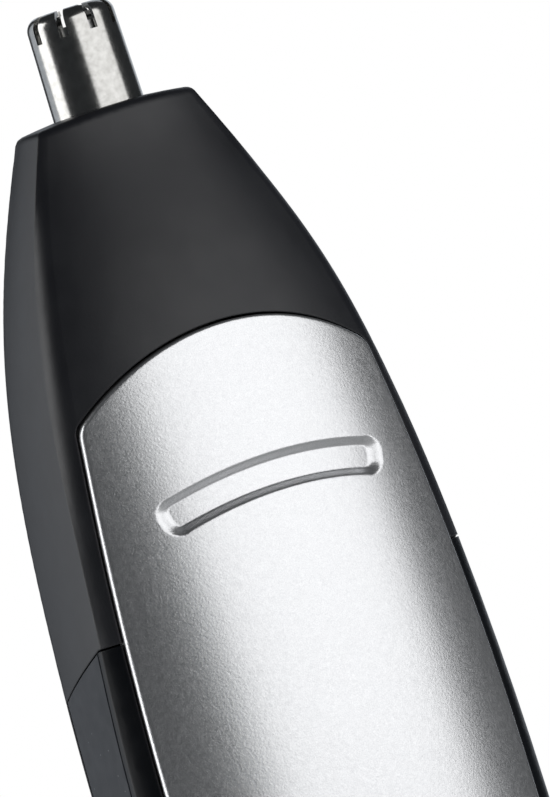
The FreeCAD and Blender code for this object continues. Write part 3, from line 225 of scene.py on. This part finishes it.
class Surface:
    """A Principled material fed by procedural textures in the object's own metres."""

    def __init__(self, name, **settings):
        self.material = bpy.data.materials.new(name)
        self.material.use_nodes = True
        self.nodes = self.material.node_tree.nodes
        self.links = self.material.node_tree.links
        self.shader = self.nodes["Principled BSDF"]
        self.place = self.nodes.new("ShaderNodeTexCoord").outputs["Object"]
        self.normal = None
        for setting, value in settings.items():
            self.shader.inputs[SOCKETS[setting]].default_value = value

    def compute(self, operation, first, second):
        """One arithmetic step on values or sockets."""
        node = self.nodes.new("ShaderNodeMath")
        node.operation = operation
        for socket, value in zip(node.inputs, (first, second)):
            self.feed(socket, value)
        return node.outputs[0]

    def feed(self, socket, value):
        """Link a socket, or set it when the value is plain."""
        if isinstance(value, bpy.types.NodeSocket):
            self.links.new(value, socket)
        else:
            socket.default_value = value

    def stretched(self, stretch):
        """The object's coordinates, scaled along each axis."""
        node = self.nodes.new("ShaderNodeVectorMath")
        node.operation = "MULTIPLY"
        self.links.new(self.place, node.inputs[0])
        node.inputs[1].default_value = stretch
        return node.outputs[0]

    def axis(self, name):
        """One coordinate of the place, in metres."""
        node = self.nodes.new("ShaderNodeSeparateXYZ")
        self.links.new(self.place, node.inputs[0])
        return node.outputs[name]

    def from_axis(self):
        """The distance from the trimmer's long axis, in metres."""
        node = self.nodes.new("ShaderNodeVectorMath")
        node.operation = "LENGTH"
        self.links.new(self.stretched((1.0, 1.0, 0.0)), node.inputs[0])
        return node.outputs["Value"]

    def noise(self, size, detail=2.0, stretch=(1.0, 1.0, 1.0)):
        """Soft noise whose lumps are about this size."""
        node = self.nodes.new("ShaderNodeTexNoise")
        self.links.new(self.stretched(stretch), node.inputs["Vector"])
        node.inputs["Scale"].default_value = 1.0 / size
        node.inputs["Detail"].default_value = detail
        return node.outputs["Fac"]

    def cells(self, size):
        """A Voronoi texture with cells of about this size."""
        node = self.nodes.new("ShaderNodeTexVoronoi")
        self.links.new(self.place, node.inputs["Vector"])
        node.inputs["Scale"].default_value = 1.0 / size
        return node

    def remap(self, value, low, high, out_low, out_high):
        """Map one range of values to another, clamped."""
        node = self.nodes.new("ShaderNodeMapRange")
        self.links.new(value, node.inputs["Value"])
        node.inputs["From Min"].default_value = low
        node.inputs["From Max"].default_value = high
        node.inputs["To Min"].default_value = out_low
        node.inputs["To Max"].default_value = out_high
        return node.outputs["Result"]

    def mix(self, share, first, second):
        """A blend of two colours."""
        node = self.nodes.new("ShaderNodeMix")
        node.data_type = "RGBA"
        self.feed(node.inputs["Factor"], share)
        for socket, value in ((node.inputs[6], first), (node.inputs[7], second)):
            self.feed(socket, value if isinstance(value, bpy.types.NodeSocket) else (*value, 1.0))
        return node.outputs[2]

    def colour(self, socket):
        """Use a socket as the surface's colour."""
        self.links.new(socket, self.shader.inputs["Base Color"])
        return self

    def vary_colour(self, first, second, size, detail=2.0):
        """A gentle drift between two colours."""
        drift = self.remap(self.noise(size, detail), *COLOUR_DRIFT, 0.0, 1.0)
        return self.colour(self.mix(drift, first, second))

    def vary_roughness(self, low, high, size, stretch=(1.0, 1.0, 1.0), detail=2.0):
        """A gentle drift of the roughness."""
        drift = self.remap(self.noise(size, detail, stretch), *ROUGHNESS_DRIFT, low, high)
        self.links.new(drift, self.shader.inputs["Roughness"])
        return self

    def specks(self, size, radius, keep):
        """A mask of scattered dots. About this share of the cells keep their dot."""
        node = self.cells(size)
        reach = radius / size
        near = self.remap(node.outputs["Distance"], reach * SPECK_CORE, reach, 1.0, 0.0)
        split = self.nodes.new("ShaderNodeSeparateXYZ")
        self.links.new(node.outputs["Color"], split.inputs[0])
        chosen = self.compute("LESS_THAN", split.outputs["X"], keep)
        return self.compute("MULTIPLY", near, chosen)

    def round_edges(self, radius):
        """Soften the look of sharp edges, as on a moulded part."""
        node = self.nodes.new("ShaderNodeBevel")
        node.samples = BEVEL_SAMPLES
        node.inputs["Radius"].default_value = radius
        self.normal = node.outputs["Normal"]
        return self

    def relief(self, height, depth):
        """Raise and lower the surface by up to this depth; calls add up."""
        node = self.nodes.new("ShaderNodeBump")
        node.inputs["Distance"].default_value = depth
        self.links.new(height, node.inputs["Height"])
        if self.normal is not None:
            self.links.new(self.normal, node.inputs["Normal"])
        self.normal = node.outputs["Normal"]
        return self

    def done(self):
        """Connect the normal and return the material."""
        if self.normal is not None:
            self.links.new(self.normal, self.shader.inputs["Normal"])
        return self.material


# ---------------------------------------------------------------------------------------------
# Materials
# ---------------------------------------------------------------------------------------------


def head_plastic():
    """Matt black moulding with the finest grain and softly broken edges."""
    surface = Surface("head_plastic", specular=0.5)
    surface.vary_colour((0.0088, 0.0095, 0.0128), (0.0115, 0.0124, 0.0160), 6 * MM)
    surface.vary_roughness(0.40, 0.46, 3 * MM)
    surface.round_edges(0.22 * MM)
    surface.relief(surface.noise(0.22 * MM, 3.0), 0.004 * MM)
    return surface.done()


def handle_plastic():
    """Black moulding, a little glossier, with a few pale specks of dust."""
    surface = Surface("handle_plastic", specular=0.25)
    body = surface.mix(surface.noise(5 * MM), (0.0025, 0.0032, 0.0048), (0.0040, 0.0050, 0.0070))
    dust = surface.specks(1.1 * MM, 0.075 * MM, 0.35)
    surface.colour(surface.mix(dust, body, (0.10, 0.105, 0.115)))
    surface.vary_roughness(0.30, 0.38, 2 * MM)
    surface.round_edges(0.22 * MM)
    surface.relief(surface.noise(0.25 * MM, 3.0), 0.004 * MM)
    return surface.done()


def grip_rubber():
    """Soft bluish-black rubber with a fine tooth and scattered pale specks."""
    surface = Surface("grip_rubber", specular=0.3, sheen=0.2, sheen_roughness=0.45)
    body = surface.mix(surface.noise(4 * MM, 3.0), (0.014, 0.019, 0.028), (0.021, 0.027, 0.038))
    dust = surface.specks(0.9 * MM, 0.075 * MM, 0.3)
    faint = surface.specks(0.45 * MM, 0.06 * MM, 0.4)
    body = surface.mix(surface.compute("MULTIPLY", faint, 0.4), body, (0.08, 0.09, 0.11))
    surface.colour(surface.mix(dust, body, (0.22, 0.235, 0.26)))
    surface.vary_roughness(0.52, 0.62, 1.5 * MM)
    surface.round_edges(0.15 * MM)
    surface.relief(surface.noise(0.16 * MM, 3.0), 0.008 * MM)
    return surface.done()


def satin_silver():
    """Pearly silver lacquer over the plate, with the orange peel of a sprayed coat."""
    surface = Surface("satin_silver", metallic=0.92, specular=0.5, coat=0.12, coat_roughness=0.3)
    flake = surface.remap(surface.noise(0.09 * MM, 1.0), 0.3, 0.7, 0.0, 1.0)
    surface.colour(surface.mix(flake, (0.60, 0.605, 0.62), (0.70, 0.705, 0.715)))
    surface.vary_roughness(0.28, 0.35, 0.35 * MM)
    surface.relief(surface.noise(0.30 * MM, 1.0), 0.0060 * MM)
    surface.relief(surface.noise(0.17 * MM, 2.0), 0.0110 * MM)
    return surface.done()


def polished_steel():
    """Bright turned stainless steel with faint lathe rings and hairline wipes."""
    surface = Surface("polished_steel", metallic=1.0)
    surface.vary_colour((0.42, 0.415, 0.40), (0.52, 0.515, 0.50), 0.6 * MM, 4.0)
    surface.vary_roughness(0.15, 0.23, 0.3 * MM, stretch=(1.0, 1.0, 2.0), detail=4.0)
    surface.relief(surface.noise(1.8 * MM, 3.0, stretch=(1.0, 1.0, 10.0)), 0.005 * MM)
    return surface.done()


def blade_steel():
    """Ground blade steel, duller than the guard."""
    surface = Surface("blade_steel", metallic=1.0)
    surface.vary_colour((0.36, 0.36, 0.355), (0.46, 0.46, 0.45), 0.6 * MM)
    surface.vary_roughness(0.26, 0.40, 0.3 * MM, stretch=(1.0, 1.0, 5.0))
    surface.relief(surface.noise(0.9 * MM, 2.0, stretch=(1.0, 1.0, 18.0)), 0.006 * MM)
    return surface.done()


def spring_steel():
    """Nickel-plated wire and strip."""
    surface = Surface("spring_steel", metallic=1.0)
    surface.vary_colour((0.50, 0.50, 0.49), (0.60, 0.60, 0.585), 1.0 * MM)
    surface.vary_roughness(0.20, 0.34, 0.4 * MM, detail=3.0)
    surface.relief(surface.noise(0.25 * MM, 2.0), 0.003 * MM)
    return surface.done()


def motor_steel():
    """Zinc-plated drawn steel with a cloudy finish and drawing lines along its length."""
    surface = Surface("motor_steel", metallic=1.0)
    surface.vary_colour((0.44, 0.45, 0.46), (0.56, 0.57, 0.575), 3 * MM, 4.0)
    surface.vary_roughness(0.28, 0.46, 1.2 * MM, detail=4.0)
    surface.relief(surface.noise(0.5 * MM, 2.0, stretch=(1.0, 1.0, 0.08)), 0.005 * MM)
    return surface.done()


def rotor_steel():
    """The armature: dark laminations across it and a bright ground shaft."""
    pitch = 0.5 * MM
    shaft_reach = 1.5 * MM
    surface = Surface("rotor_steel", metallic=1.0)
    turns = surface.compute("MULTIPLY", surface.axis("Z"), 1.0 / pitch)
    sheets = surface.compute("PINGPONG", turns, 0.5)
    stack = surface.mix(surface.remap(sheets, 0.0, 0.25, 0.0, 1.0), (0.10, 0.095, 0.09), (0.33, 0.32, 0.31))
    outside = surface.compute("GREATER_THAN", surface.from_axis(), shaft_reach)
    surface.colour(surface.mix(outside, (0.58, 0.58, 0.57), stack))
    surface.vary_roughness(0.25, 0.42, 0.8 * MM)
    surface.relief(sheets, 0.02 * MM)
    return surface.done()


def brass():
    """Turned brass with a warm, slightly tarnished tone."""
    surface = Surface("brass", metallic=1.0)
    surface.vary_colour((0.56, 0.38, 0.15), (0.74, 0.54, 0.25), 1.4 * MM, 3.0)
    surface.vary_roughness(0.22, 0.38, 0.6 * MM)
    surface.relief(surface.noise(0.8 * MM, 2.0, stretch=(1.0, 1.0, 10.0)), 0.005 * MM)
    return surface.done()


def white_nylon():
    """Milky moulded nylon."""
    surface = Surface("white_nylon", specular=0.45)
    surface.shader.inputs["Subsurface Weight"].default_value = 0.15
    surface.shader.inputs["Subsurface Scale"].default_value = 0.8 * MM
    surface.vary_colour((0.66, 0.65, 0.60), (0.76, 0.75, 0.70), 2.5 * MM)
    surface.vary_roughness(0.38, 0.52, 1.0 * MM)
    surface.round_edges(0.12 * MM)
    surface.relief(surface.noise(0.3 * MM, 3.0), 0.006 * MM)
    return surface.done()


def dark_plastic():
    """Charcoal glass-filled moulding with a faint fibrous flow."""
    surface = Surface("dark_plastic", specular=0.45)
    surface.vary_colour((0.022, 0.022, 0.024), (0.034, 0.034, 0.036), 1.6 * MM, 4.0)
    surface.vary_roughness(0.42, 0.60, 0.9 * MM)
    surface.round_edges(0.12 * MM)
    surface.relief(surface.noise(0.35 * MM, 3.0, stretch=(1.0, 1.0, 0.35)), 0.009 * MM)
    return surface.done()


def felt():
    """Pressed wool felt."""
    surface = Surface("felt", specular=0.1, sheen=0.6, sheen_roughness=0.5)
    surface.vary_colour((0.30, 0.28, 0.25), (0.46, 0.44, 0.40), 0.35 * MM, 5.0)
    surface.vary_roughness(0.85, 0.98, 0.5 * MM)
    surface.relief(surface.noise(0.14 * MM, 4.0), 0.06 * MM)
    return surface.done()


def seal_rubber():
    """Black rubber of the O-ring and the gaskets, also used on the dark sheet of painted shade in the seam."""
    surface = Surface("seal_rubber", specular=0.4)
    surface.vary_colour((0.012, 0.012, 0.013), (0.022, 0.022, 0.023), 1.0 * MM)
    surface.vary_roughness(0.48, 0.62, 0.7 * MM)
    surface.relief(surface.noise(0.2 * MM, 2.0), 0.006 * MM)
    return surface.done()


def magnet():
    """Sintered ferrite."""
    surface = Surface("magnet", specular=0.4)
    surface.vary_colour((0.045, 0.045, 0.048), (0.085, 0.083, 0.082), 0.5 * MM, 5.0)
    surface.vary_roughness(0.55, 0.75, 0.4 * MM)
    surface.relief(surface.noise(0.12 * MM, 4.0), 0.015 * MM)
    return surface.done()


def cell_jacket():
    """A plain printed sleeve, dark with a copper end, and bare steel at both ends of the cell."""
    band_start = cell_low.z + 0.70 * (cell_high.z - cell_low.z)
    top_steel = 1.75 * MM
    base_steel = 0.35 * MM
    surface = Surface("cell_jacket", specular=0.5, coat=0.6, coat_roughness=0.12)
    height = surface.axis("Z")
    band = surface.compute("GREATER_THAN", height, band_start)
    sleeve = surface.mix(surface.noise(2 * MM), (0.020, 0.022, 0.026), (0.028, 0.030, 0.034))
    printed = surface.mix(band, sleeve, (0.52, 0.24, 0.09))
    above = surface.compute("GREATER_THAN", height, cell_high.z - top_steel)
    below = surface.compute("LESS_THAN", height, cell_low.z + base_steel)
    bare = surface.compute("MAXIMUM", above, below)
    surface.colour(surface.mix(bare, printed, (0.58, 0.58, 0.57)))
    metal = surface.compute("MAXIMUM", bare, surface.compute("MULTIPLY", band, 0.7))
    surface.links.new(metal, surface.shader.inputs["Metallic"])
    surface.vary_roughness(0.22, 0.32, 2 * MM)
    surface.relief(surface.noise(1.5 * MM, 2.0), 0.01 * MM)
    return surface.done()


def board_green():
    """Circuit board: solder mask over copper tracks."""
    pitch = 1.6 * MM
    surface = Surface("board_green", specular=0.5, coat=0.3, coat_roughness=0.2)
    lanes = surface.compute("MULTIPLY", surface.axis("X"), 1.0 / pitch)
    lane = surface.compute("PINGPONG", lanes, 0.5)
    track = surface.compute("GREATER_THAN", lane, 0.3)
    mask = surface.mix(surface.noise(1.5 * MM), (0.008, 0.060, 0.026), (0.012, 0.078, 0.034))
    surface.colour(surface.mix(track, mask, (0.022, 0.125, 0.052)))
    surface.vary_roughness(0.30, 0.42, 0.8 * MM)
    surface.relief(track, 0.03 * MM)
    return surface.done()


# ---------------------------------------------------------------------------------------------
# Thumb plate: a lacquered sheet with a rolled rim and a pressed groove, in millimetres
# ---------------------------------------------------------------------------------------------

ARCH_RADIUS = 19.6          # the arch at the plate's top
FOOT_RADIUS = 16.7          # the arch at its lower end
FLANK_RADIUS = 268.0        # the long curve of its sides, which starts above the straight part
FLANK_START = plate_low.z + 21.0
CORNER_SOFTNESS = 0.45
SECTION_RADIUS = 27.0       # the face's curve across the plate
PROFILE_RADIUS = 340.0      # the face's curve along the plate
PROFILE_MIDDLE = plate_low.z + 28.0
PLATE_THICKNESS = 1.2
RIM_RADIUS = 0.27
BORDER = RIM_RADIUS * 1.8   # the face's sheet starts this far inside the outline
SHARP_ANGLE = 50.0          # in degrees: edges that turn more than this stay sharp

GROOVE_RADIUS = 36.0        # the crescent's middle line
GROOVE_TOP = plate_high.z - 12.64
GROOVE_X = 0.35             # the crescent's centre lies this far to the right
GROOVE_DEPTH = 0.55
GROOVE_HALF_WIDTH = 0.92    # of the floor
GROOVE_HALF_LENGTH = 9.05
GROOVE_CORNER = 0.6         # radius of the floor's corners
GROOVE_WALL = 0.66          # how wide the long walls are
GROOVE_END = 0.98           # how wide the gentler end walls are
GROOVE_ROUNDNESS = 0.25     # how far the walls bend into the floor and into the face

RAYS = 900                  # points on each ring of the edge
HALVINGS = 40               # steps of the search for a ring's points
RIM_STEPS = 7
FACE_STEP = 0.6             # spacing of the points on the plain part of the face
FACE_MARGIN = 1.0           # how far they stay inside the outline
BACK_STEP = 1.5
BACK_MARGIN = 0.8
PATCH_HALF_WIDTH = 1.9      # the patch of closer points over the groove
PATCH_HALF_LENGTH = 10.8
PATCH_ACROSS = 0.095        # spacing of its points
PATCH_ALONG = 0.18
PATCH_SIDE_GAP = 0.2        # how far the plain points stay off the patch
PATCH_END_GAP = 0.45
INSIDE_TRIANGLES = 1        # the kind of triangulation that keeps only what lies inside the border
SAME_POINT = 1e-6           # points nearer than this count as one in the triangulation
WELD_DISTANCE = 0.0005      # and nearer than this where the rows of the edge meet the sheets


def plate_margin(x, z):
    """How far a point lies inside the plate's outline."""
    side = np.abs(x)
    above_arch = np.maximum(z - (plate_high.z - ARCH_RADIUS), 0.0)
    below_foot = np.maximum(plate_low.z + FOOT_RADIUS - z, 0.0)
    end = np.minimum(ARCH_RADIUS - np.hypot(x, above_arch), FOOT_RADIUS - np.hypot(x, below_foot))
    straight = plate_high.x - side
    curved = FLANK_RADIUS - np.hypot(side - (plate_high.x - FLANK_RADIUS), z - FLANK_START)
    flank = np.where(z > FLANK_START, curved, straight)
    near_end = np.maximum(CORNER_SOFTNESS - end, 0.0)
    near_flank = np.maximum(CORNER_SOFTNESS - flank, 0.0)
    rounded = CORNER_SOFTNESS - np.hypot(near_end, near_flank)
    return np.where((near_end > 0) & (near_flank > 0), rounded, np.minimum(end, flank))


def plate_ring(margin):
    """A closed line of points that lie this far inside the outline."""
    turns = np.linspace(0.0, 2 * np.pi, RAYS, endpoint=False)
    centre_z = (plate_low.z + plate_high.z) / 2
    near = np.zeros(RAYS)
    far = np.full(RAYS, plate_high.z)
    for _ in range(HALVINGS):
        middle = (near + far) / 2
        inside = plate_margin(middle * np.cos(turns), centre_z + middle * np.sin(turns)) > margin
        near = np.where(inside, middle, near)
        far = np.where(inside, far, middle)
    return np.stack([near * np.cos(turns), centre_z + near * np.sin(turns)], axis=1)


def plate_y(x, z, depth):
    """Where the plate's face lies, sunk by a depth."""
    axis_y = PROFILE_RADIUS + plate_low.y
    reach = PROFILE_RADIUS - SECTION_RADIUS + np.sqrt((SECTION_RADIUS - depth) ** 2 - x ** 2)
    return axis_y - np.sqrt(reach ** 2 - (z - PROFILE_MIDDLE) ** 2)


def groove_place(x, z):
    """A point's place across and along the groove's middle line."""
    centre_z = GROOVE_TOP - GROOVE_RADIUS
    across = np.hypot(x - GROOVE_X, z - centre_z) - GROOVE_RADIUS
    along = GROOVE_RADIUS * np.arctan2(x - GROOVE_X, z - centre_z)
    return across, along


def groove_sink(x, z):
    """How deep the groove is at a point: flat floor, sloped walls and rounded edges."""
    across, along = groove_place(x, z)
    beside = np.maximum(np.abs(across) - GROOVE_HALF_WIDTH + GROOVE_CORNER, 0.0)
    beyond = np.maximum(np.abs(along) - GROOVE_HALF_LENGTH + GROOVE_CORNER, 0.0)
    away = np.hypot(beside, beyond)
    wall = GROOVE_WALL + (GROOVE_END - GROOVE_WALL) * beyond / np.maximum(away, GROOVE_CORNER)
    rise = np.clip((away - GROOVE_CORNER) / wall, 0.0, 1.0)
    turned = rise * rise * (3.0 - 2.0 * rise)
    return GROOVE_DEPTH * (1.0 - rise * (1.0 - GROOVE_ROUNDNESS) - turned * GROOVE_ROUNDNESS)


def grid_points(step):
    """A square grid over the plate's box."""
    x = np.arange(plate_low.x, plate_high.x, step)
    z = np.arange(plate_low.z, plate_high.z, step)
    grid_x, grid_z = np.meshgrid(x, z)
    return np.stack([grid_x.ravel(), grid_z.ravel()], axis=1)


def both_ways(reach, step):
    """Evenly spaced values from minus this reach to plus this reach."""
    return np.arange(-reach, reach + step / 2, step)


def face_points():
    """Points over the face: a plain grid, and a closer one that follows the groove."""
    plain = grid_points(FACE_STEP)
    across, along = groove_place(plain[:, 0], plain[:, 1])
    beside = np.abs(across) > PATCH_HALF_WIDTH + PATCH_SIDE_GAP
    beyond = np.abs(along) > PATCH_HALF_LENGTH + PATCH_END_GAP
    plain = plain[(beside | beyond) & (plate_margin(plain[:, 0], plain[:, 1]) > FACE_MARGIN)]
    across, along = np.meshgrid(
        both_ways(PATCH_HALF_WIDTH, PATCH_ACROSS), both_ways(PATCH_HALF_LENGTH, PATCH_ALONG)
    )
    turn = along.ravel() / GROOVE_RADIUS
    reach = GROOVE_RADIUS + across.ravel()
    fine_x = GROOVE_X + reach * np.sin(turn)
    fine_z = GROOVE_TOP - GROOVE_RADIUS + reach * np.cos(turn)
    return np.concatenate([plain, np.stack([fine_x, fine_z], axis=1)])


def add_points(mesh, flat, depth):
    """New vertices on the plate's form at a depth."""
    y = plate_y(flat[:, 0], flat[:, 1], depth)
    return [mesh.verts.new((x * MM, height * MM, z * MM)) for (x, z), height in zip(flat, y)]


def add_sheet(mesh, border, inner, sink, flip):
    """Fill a closed border with triangles through the inner points."""
    flat = [Vector(point) for point in np.concatenate([border, inner])]
    loop = [(number, (number + 1) % len(border)) for number in range(len(border))]
    points, _, triangles, *_ = delaunay_2d_cdt(flat, loop, [], INSIDE_TRIANGLES, SAME_POINT)
    places = np.array([tuple(point) for point in points])
    corners = add_points(mesh, places, sink(places[:, 0], places[:, 1]))
    for triangle in triangles:
        order = reversed(triangle) if flip else triangle
        mesh.faces.new([corners[number] for number in order])


def thumb_plate():
    """The plate as one closed mesh: back, edge, rolled rim and grooved face."""
    mesh = bmesh.new()
    outline = plate_ring(0.0)
    rows = [add_points(mesh, outline, PLATE_THICKNESS)]
    for step in range(RIM_STEPS + 1):
        turn = math.pi / 2 * step / RIM_STEPS
        margin = RIM_RADIUS * (1.0 - math.cos(turn))
        depth = RIM_RADIUS * (1.0 - math.sin(turn))
        rows.append(add_points(mesh, plate_ring(margin), depth))
    border = plate_ring(BORDER)
    rows.append(add_points(mesh, border, 0.0))
    for lower, upper in zip(rows, rows[1:]):
        for number in range(RAYS):
            after = (number + 1) % RAYS
            mesh.faces.new((lower[number], lower[after], upper[after], upper[number]))
    add_sheet(mesh, border, face_points(), groove_sink, flip=False)
    inner = grid_points(BACK_STEP)
    inner = inner[plate_margin(inner[:, 0], inner[:, 1]) > BACK_MARGIN]
    add_sheet(mesh, outline, inner, lambda x, z: np.full(x.shape, PLATE_THICKNESS), flip=True)
    bmesh.ops.remove_doubles(mesh, verts=mesh.verts[:], dist=WELD_DISTANCE * MM)
    bmesh.ops.recalc_face_normals(mesh, faces=mesh.faces[:])
    for face in mesh.faces:
        face.smooth = True
    data = bpy.data.meshes.new("thumb_plate")
    mesh.to_mesh(data)
    mesh.free()
    data.set_sharp_from_angle(angle=math.radians(SHARP_ANGLE))
    plate = add_object("thumb_plate", data)
    data.materials.append(satin_silver())
    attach(plate, "slider")
    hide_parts("front_plate")


# ---------------------------------------------------------------------------------------------
# Seam shade sheet: a thin dark sheet in the seam between head and handle, round the back and both sides, that
# paints the shade inside the seam
# ---------------------------------------------------------------------------------------------

SEAM_STEP = 3.5 * MM        # how much lower the seam is at the back than at the front
SEAM_BEND = 5.2 * MM        # it falls from this far in front of the axis to as far behind it
SEAM_GAP = 0.15 * MM
SHADE_SHEET_PLAY = 0.01 * MM     # between the sheet of painted shade and both faces of the seam
SHADE_SHEET_SETBACK = 0.35 * MM  # how far its outer edge lies inside the casing's skin
SHADE_SHEET_WIDTH = 0.75 * MM
SHADE_SHEET_HALF_TURN = math.radians(96.0)   # how far it goes round from the back to each side
SHADE_SHEET_STEPS = 160

SKIN_LIFT = 0.35 * MM       # the casing's skin is found this far above the head's underside
SKIN_START = 50 * MM        # by a ray from this far off the axis
SKIN_ROUNDS = 4             # and again at the height that the last round gave


def seam_height(y):
    """The underside of the head at this depth."""
    share = (SEAM_BEND - y) / (2 * SEAM_BEND)
    return seam_back + SEAM_STEP * min(max(share, 0.0), 1.0)


def seam_edge(skin, turn):
    """The head's lower outer edge and the way out to it, this far round from the back."""
    outward = Vector((math.sin(turn), math.cos(turn), 0.0))
    edge = outward * whole_high.x
    for _ in range(SKIN_ROUNDS):
        start = outward * SKIN_START
        start.z = seam_height(edge.y) + SKIN_LIFT
        edge = skin.ray_cast(start, -outward)[0]
    return edge, outward


def seam_shade_sheet():
    """The dark sheet of painted shade in the seam, as a closed strip of four sides. It rides on the handle."""
    skin = BVHTree.FromObject(frame["nodes"]["head_housing"], bpy.context.evaluated_depsgraph_get())
    upper = SHADE_SHEET_PLAY
    lower = SEAM_GAP - SHADE_SHEET_PLAY
    rows = []
    for step in range(SHADE_SHEET_STEPS + 1):
        edge, outward = seam_edge(skin, SHADE_SHEET_HALF_TURN * (2 * step / SHADE_SHEET_STEPS - 1))
        outer = edge - outward * SHADE_SHEET_SETBACK
        inner = outer - outward * SHADE_SHEET_WIDTH
        corners = ((outer, upper), (inner, upper), (inner, lower), (outer, lower))
        rows.append([(place.x, place.y, seam_height(place.y) - drop) for place, drop in corners])
    faces = [(0, 1, 2, 3), tuple(4 * SHADE_SHEET_STEPS + corner for corner in (3, 2, 1, 0))]
    for step in range(SHADE_SHEET_STEPS):
        here = 4 * step
        there = here + 4
        for corner in range(4):
            after = (corner + 1) % 4
            faces.append((here + corner, there + corner, there + after, here + after))
    data = bpy.data.meshes.new("seam_shade_sheet")
    data.from_pydata([place for row in rows for place in row], [], faces)
    shade_sheet = add_object("seam_shade_sheet", data)
    # A black sheet across the seam gap: painted shade that stands in for the dark inside of the seam.
    data.materials.append(seal_rubber())
    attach(shade_sheet, "handle")


# ---------------------------------------------------------------------------------------------
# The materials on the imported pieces
# ---------------------------------------------------------------------------------------------

MAKERS = {
    maker.__name__: maker
    for maker in (
        head_plastic, handle_plastic, grip_rubber, satin_silver, polished_steel, blade_steel, spring_steel,
        motor_steel, brass, white_nylon, dark_plastic, felt, seal_rubber, magnet, cell_jacket, board_green,
    )
}
OWN_FINISH = {"motor_rotor": rotor_steel}


def dress():
    """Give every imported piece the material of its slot, or its own finish."""
    ready = {}
    slots = {entry["node"]: entry["material_slot"] for entry in frame["record"]["subparts"]}
    for node, thing in frame["nodes"].items():
        maker = OWN_FINISH.get(node, MAKERS[slots[node]])
        if maker not in ready:
            ready[maker] = maker()
        thing.data.materials.clear()
        thing.data.materials.append(ready[maker])


# ---------------------------------------------------------------------------------------------
# The scene
# ---------------------------------------------------------------------------------------------

scene.view_settings.view_transform = "Standard"
place_camera()
set_world()
for softbox, values in SOFTBOXES.items():
    add_softbox(softbox, *values)
add_floor()
dress()
thumb_plate()
seam_shade_sheet()
